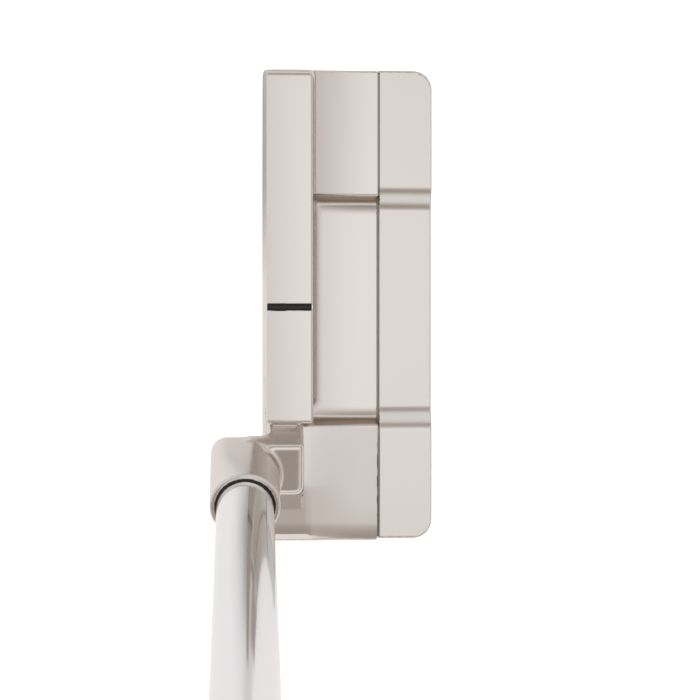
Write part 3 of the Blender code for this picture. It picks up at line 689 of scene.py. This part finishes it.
def grip_reach(up):
    """Radius at each angle: a superellipse whose depth differs on the two sides, less the grooves."""
    up = np.atleast_1d(up)[:, None]
    share = (up - GRIP_START) / GRIP_LENGTH
    blend = smooth(share / 0.55)
    swell = np.exp(-(((share - 0.93) / 0.17) ** 2))
    width = 9.3 + 3.5 * blend
    flat_side = 9.3 + 1.3 * blend
    belly = 9.3 + 3.1 * blend + 6.6 * swell
    c, s = np.cos(TURN), np.sin(TURN)
    power = 2.0 + np.where(s > 0, 1.4, 0.3) * blend
    depth = np.where(s > 0, flat_side, belly)
    reach = ((np.abs(c) / width) ** power + (np.abs(s) / depth) ** power) ** (-1 / power)
    groove = (0.5 + 0.5 * np.cos(2 * np.pi * up / 5.0)) ** 10
    where = smooth((s - 0.45) / 0.25) * smooth((share - 0.22) / 0.02) * smooth((0.86 - share) / 0.02)
    return reach - 0.35 * groove * where


def grip_rings(up, scale=1.0):
    reach = grip_reach(up) * np.reshape(scale, (-1, 1))
    height = np.broadcast_to(np.atleast_1d(up)[:, None], reach.shape)
    return np.stack([reach * np.cos(TURN), reach * np.sin(TURN), height], axis=2)


# %% Grip
lip = np.linspace(0.0, np.pi / 2, 8)
lip_up = GRIP_START + 1.2 * (1 - np.cos(lip))
rows = np.arange(GRIP_START + 1.6, BUTT - 0.5, 0.5)
bore = [circle(shaft_radius(w) + 0.31, w, ROUND) for w in (BUTT, GRIP_START)]
rings = np.concatenate([
    grip_rings(lip_up, 0.90 + 0.10 * np.sin(lip)),
    grip_rings(rows),
    grip_rings([BUTT - 0.3, BUTT], [1.0, 0.985]),
    bore,
])
points, quads = sleeve(rings)
grip = add_piece("grip_moulded", on_shaft(points), quads)
finish_piece(grip, "grip")

# %% End cap, with a vent hole and a stem in the shaft
low, high = BUTT + 0.1, BUTT + 4.1
STEM = shaft_radius(BUTT) - SHAFT_WALL - 0.05
VENT = 1.2
rim = grip_rings(BUTT)[0]
edge = np.linspace(0.0, np.pi / 2, 10)


def rim_ring(scale, up):
    return np.column_stack([rim[:, :2] * scale, np.full(ROUND, up)])


rings = [circle(VENT, BUTT - 9.0, ROUND), circle(STEM, BUTT - 9.0, ROUND), circle(STEM, low, ROUND)]
rings += [rim_ring(0.985, low), rim_ring(1.0, low + 0.3)]
rings += [rim_ring(0.84 + 0.16 * math.cos(a), high - 2.0 + 2.0 * math.sin(a)) for a in edge]
rings += [rim_ring(0.5, high), circle(VENT + 0.4, high, ROUND), circle(VENT, high - 0.4, ROUND)]
points, quads = sleeve(rings)
cap = add_piece("end_cap_moulded", on_shaft(points), quads)
finish_piece(cap, "grip_end_cap")

# %% [markdown]
# ## Materials
#
# Colours are written as hex values, as they look under white light, and turned into linear values.

# %% Colour and node helpers
def linear(code):
    """sRGB hex to linear: below 0.04045 a straight line, above it a power of 2.4."""
    parts = [int(code[i:i + 2], 16) / 255 for i in (1, 3, 5)]
    return tuple(c / 12.92 if c <= 0.04045 else ((c + 0.055) / 1.055) ** 2.4 for c in parts) + (1.0,)


def new_material(name):
    material = bpy.data.materials.new(name)
    material.use_nodes = True
    return material, material.node_tree.nodes["Principled BSDF"]


def add_node(material, kind, settings=None, **inputs):
    """One node with its settings and its inputs, each a value or another node's output."""
    node = material.node_tree.nodes.new(kind)
    for key, value in (settings or {}).items():
        setattr(node, key, value)
    for key, value in inputs.items():
        socket = node.inputs[key.replace("_", " ")]
        if isinstance(value, bpy.types.NodeSocket):
            material.node_tree.links.new(value, socket)
        else:
            socket.default_value = value
    return node


# %% Satin metals
def satin_metal(name, colour, roughness):
    """Bead-blasted metal: an even, matt-silver skin of tiny dents, finer than a tenth of a millimetre."""
    material, shader = new_material(name)
    shader.inputs["Base Color"].default_value = linear(colour)
    shader.inputs["Metallic"].default_value = 1.0
    shader.inputs["Roughness"].default_value = roughness
    place = add_node(material, "ShaderNodeTexCoord").outputs["Object"]
    grain = add_node(material, "ShaderNodeTexNoise", Vector=place, Scale=1 / (0.25 * MM), Detail=2.0)
    bump = add_node(material, "ShaderNodeBump", Strength=0.05, Distance=0.02 * MM,
                    Height=grain.outputs["Fac"])
    material.node_tree.links.new(bump.outputs["Normal"], shader.inputs["Normal"])
    return material


STEEL_COLOUR = "#ded8d3"
STEEL = satin_metal("bead_blasted_stainless", STEEL_COLOUR, 0.25)
ALUMINIUM = satin_metal("bead_blasted_aluminium", "#dad5d0", 0.26)


# %% Node helpers for patterns and lights
def lookup(material, value, table):
    """A colour ramp of grey levels at places between 0 and 1."""
    ramp = add_node(material, "ShaderNodeValToRGB", Fac=value)
    stops = ramp.color_ramp.elements
    while len(stops) < len(table):
        stops.new(0.5)
    for stop, (place, level) in zip(stops, table):
        stop.position = place
        stop.color = (level, level, level, 1.0)
    return ramp.outputs["Color"]


def maths(material, operation, *values, clamp=False):
    node = add_node(material, "ShaderNodeMath", {"operation": operation, "use_clamp": clamp})
    for socket, value in zip(node.inputs, values):
        if isinstance(value, bpy.types.NodeSocket):
            material.node_tree.links.new(value, socket)
        else:
            socket.default_value = value
    return node.outputs[0]


# %% Darker colour on the cavity's end walls: painted shade, not a finish of the real part
WALL_SHADE = "#a08f80"


def between(value, low, high):
    return add_node(STEEL, "ShaderNodeMapRange", {"interpolation_type": "SMOOTHSTEP"}, Value=value,
                    From_Min=low * MM, From_Max=high * MM).outputs["Result"]


place = add_node(STEEL, "ShaderNodeTexCoord").outputs["Object"]
axes = add_node(STEEL, "ShaderNodeSeparateXYZ", Vector=place).outputs
middle = (CAVITY_TOE - CAVITY_HEEL) / 2
half = (CAVITY_TOE + CAVITY_HEEL) / 2
reach = maths(STEEL, "ABSOLUTE", maths(STEEL, "SUBTRACT", axes["Y"], middle * MM))
wall = maths(STEEL, "MULTIPLY", between(reach, half - 2.4, half - 1.0),
             between(reach, half - 0.1, half - 0.5))
wall = maths(STEEL, "MULTIPLY", wall, between(axes["X"], TOPLINE_BACK + 0.1, TOPLINE_BACK + 0.8))
wall = maths(STEEL, "MULTIPLY", wall, between(axes["Z"], CAVITY_FLOOR - 2.0, CAVITY_FLOOR - 1.0))
skin = add_node(STEEL, "ShaderNodeMixRGB", Fac=wall, Color1=linear(STEEL_COLOUR), Color2=linear(WALL_SHADE))
steel_shader = STEEL.node_tree.nodes["Principled BSDF"]
STEEL.node_tree.links.new(skin.outputs["Color"], steel_shader.inputs["Base Color"])


# %% Plain finishes
def plain(name, colour, roughness, metallic=0.0):
    material, shader = new_material(name)
    shader.inputs["Base Color"].default_value = linear(colour)
    shader.inputs["Metallic"].default_value = metallic
    shader.inputs["Roughness"].default_value = roughness
    return material


CHROME = plain("hard_chrome", "#e6e6e8", 0.09, 1.0)
BLACK = plain("black_paint_fill", "#0a0909", 0.3)
GLUE = plain("dark_epoxy", "#231e1b", 0.5)
MEMBRANE = plain("filled_membrane", "#9c9488", 0.4, 1.0)  # metallic only to be as light as it looks
TURNED = plain("turned_stainless", "#c9c5c0", 0.28, 1.0)
RUBBER = plain("moulded_rubber", "#141414", 0.7)
LABEL = plain("plain_band", "#b9b9ba", 0.4)


def wear(piece, material):
    piece.data.materials.clear()
    piece.data.materials.append(material)


wear(head, STEEL)
wear(neck, STEEL)
wear(flange, ALUMINIUM)
wear(shaft, CHROME)
wear(glue, GLUE)
wear(paint, BLACK)
wear(band, LABEL)
wear(grip, RUBBER)
wear(cap, RUBBER)
for piece in weights + screws:
    wear(piece, TURNED)
wear(membrane, MEMBRANE)
wear(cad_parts["shaft_tip_plug"], RUBBER)
wear(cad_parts["grip_tape"], LABEL)

# %% [markdown]
# ## Studio
#
# A floor that looks plain white to the camera, room light whose level is a table by direction, and a
# camera nearly straight above the hosel. Neither the floor nor the light is plain in reflections: both
# were tuned so that the metal's tones come out right from the main camera.

# %% Floor: the camera sees it evenly white, and reflections see it dimmer, with a pattern by X and Y
half = 3000.0
corners = np.array([[-half, -half, -0.4], [half, -half, -0.4], [half, half, -0.4], [-half, half, -0.4]])
floor = add_piece("studio_floor", corners, np.array([[0, 1, 2, 3]]))
paper, paper_shader = new_material("white_paper")
paper_shader.inputs["Base Color"].default_value = linear("#ffffff")
paper_shader.inputs["Roughness"].default_value = 0.9
paper_shader.inputs["Specular IOR Level"].default_value = 0.0
paper_shader.inputs["Emission Color"].default_value = linear("#ffffff")
place = add_node(paper, "ShaderNodeTexCoord").outputs["Object"]
floor_place = add_node(paper, "ShaderNodeSeparateXYZ", Vector=place).outputs
ACROSS = [(-250, 0.0), (-80, 0.0), (-50, 0.15), (-32, 0.38), (-20, 0.55), (8, 0.55), (24, 0.0), (250, 0.0)]
ALONG = [(-250, 0.0), (5, 0.0), (30, 1.0), (60, 1.0), (78, 0.45), (250, 0.45)]
shadow = 1.0
for direction, table in (("X", ACROSS), ("Y", ALONG)):
    at = maths(paper, "MULTIPLY_ADD", floor_place[direction], 2.0, 0.5, clamp=True)
    level = lookup(paper, at, [(0.5 + 0.002 * mm, level) for mm, level in table])
    shadow = maths(paper, "MULTIPLY", shadow, level)
strip = maths(paper, "SUBTRACT", 1.0, shadow)
seen = add_node(paper, "ShaderNodeLightPath").outputs["Is Camera Ray"]
FLOOR_SEEN, FLOOR_REFLECTED = 0.75, 0.22
glow = maths(paper, "MULTIPLY", strip, FLOOR_REFLECTED)
glow = maths(paper, "ADD", maths(paper, "MULTIPLY", seen, FLOOR_SEEN),
             maths(paper, "MULTIPLY", maths(paper, "SUBTRACT", 1.0, seen), glow))
paper.node_tree.links.new(glow, paper_shader.inputs["Emission Strength"])
shade = maths(paper, "MAXIMUM", seen, maths(paper, "MULTIPLY_ADD", strip, 0.8, 0.2))
paper.node_tree.links.new(shade, paper_shader.inputs["Base Color"])
wear(floor, paper)

# %% Room light, by the angle from straight up
world = bpy.data.worlds.new("studio_room")
bpy.context.scene.world = world
world.use_nodes = True
background = world.node_tree.nodes["Background"]
sky = add_node(world, "ShaderNodeTexCoord").outputs["Generated"]
parts = add_node(world, "ShaderNodeSeparateXYZ", Vector=sky).outputs
polar = maths(world, "MULTIPLY", maths(world, "ARCCOSINE", parts["Z"]), 1 / math.pi, clamp=True)
# Pairs of an angle from straight up, in degrees, and the light's level there
ALONG_TOE = [(0.0, 1.15), (10, 1.12), (20, 0.78), (30, 0.52), (52, 0.40), (58, 0.80), (64, 1.08), (74, 1.08),
             (80, 0.50), (85, 0.20), (90, 0.16)]
ALONG_HEEL = [(0.0, 1.15), (7, 1.10), (14, 0.80), (24, 0.52), (38, 0.42), (46, 0.32), (55, 0.42),
              (63, 1.12), (77, 1.12), (83, 0.35), (90, 0.16)]
ALONG_BACK = [(0.0, 1.15), (6, 1.16), (20, 1.08), (34, 0.93), (54, 0.78), (70, 0.60), (80, 0.30), (90, 0.18)]
ALONG_FRONT = [(0.0, 1.17), (3, 1.12), (7, 0.84), (12, 0.70), (18, 0.88), (28, 1.08), (68, 1.0),
               (80, 0.40), (90, 0.16)]


def degrees(table):
    return [(angle / 180, level) for angle, level in table] + [(0.52, 0.6), (1.0, 0.6)]


flat = maths(world, "ADD", maths(world, "MULTIPLY", parts["X"], parts["X"]),
             maths(world, "MULTIPLY", parts["Y"], parts["Y"]))
flat = maths(world, "MAXIMUM", flat, 1e-6)
lengthways = maths(world, "DIVIDE", maths(world, "MULTIPLY", parts["Y"], parts["Y"]), flat)
toe_share = maths(world, "MULTIPLY_ADD", parts["Y"], 20.0, 0.5, clamp=True)
back_share = maths(world, "MULTIPLY_ADD", parts["X"], 20.0, 0.5, clamp=True)


def blend(share, first, second):
    """First table where the share is 0, second where it is 1."""
    change = maths(world, "SUBTRACT", second, first)
    return maths(world, "MULTIPLY_ADD", change, share, first)


ends = blend(toe_share, lookup(world, polar, degrees(ALONG_HEEL)), lookup(world, polar, degrees(ALONG_TOE)))
sides = blend(back_share, lookup(world, polar, degrees(ALONG_FRONT)), lookup(world, polar, degrees(ALONG_BACK)))
room = blend(lengthways, sides, ends)
seen = add_node(world, "ShaderNodeLightPath").outputs["Is Camera Ray"]
room = blend(seen, room, 1.0)
world.node_tree.links.new(room, background.inputs["Strength"])
tint = add_node(world, "ShaderNodeValToRGB", Fac=room).outputs["Color"]
for stop, position, colour in zip(tint.node.color_ramp.elements, (0.25, 0.95), ("#fbe9da", "#ffffff")):
    stop.position, stop.color = position, linear(colour)
world.node_tree.links.new(tint, background.inputs["Color"])

# %% Camera
CAMERA_PLACE = Vector((-23.6, -6.27, 417.8)) * MM
CAMERA_AIM = Vector((0.87, -9.77, 10.0)) * MM
lens = bpy.data.cameras.new("camera")
lens.sensor_width = 36.0
lens.lens = 90.0
lens.clip_start = 0.01
camera = bpy.data.objects.new("camera", lens)
bpy.context.scene.collection.objects.link(camera)
camera.location = CAMERA_PLACE
forward = (CAMERA_AIM - CAMERA_PLACE).normalized()
right = forward.cross(Vector((0, 1, 0))).normalized()
upward = right.cross(forward)
turn = camera.matrix_world.to_3x3()
turn.col[0], turn.col[1], turn.col[2] = right, upward, -forward
camera.rotation_euler = turn.to_euler()
bpy.context.scene.camera = camera
bpy.context.scene.view_settings.view_transform = "Standard"
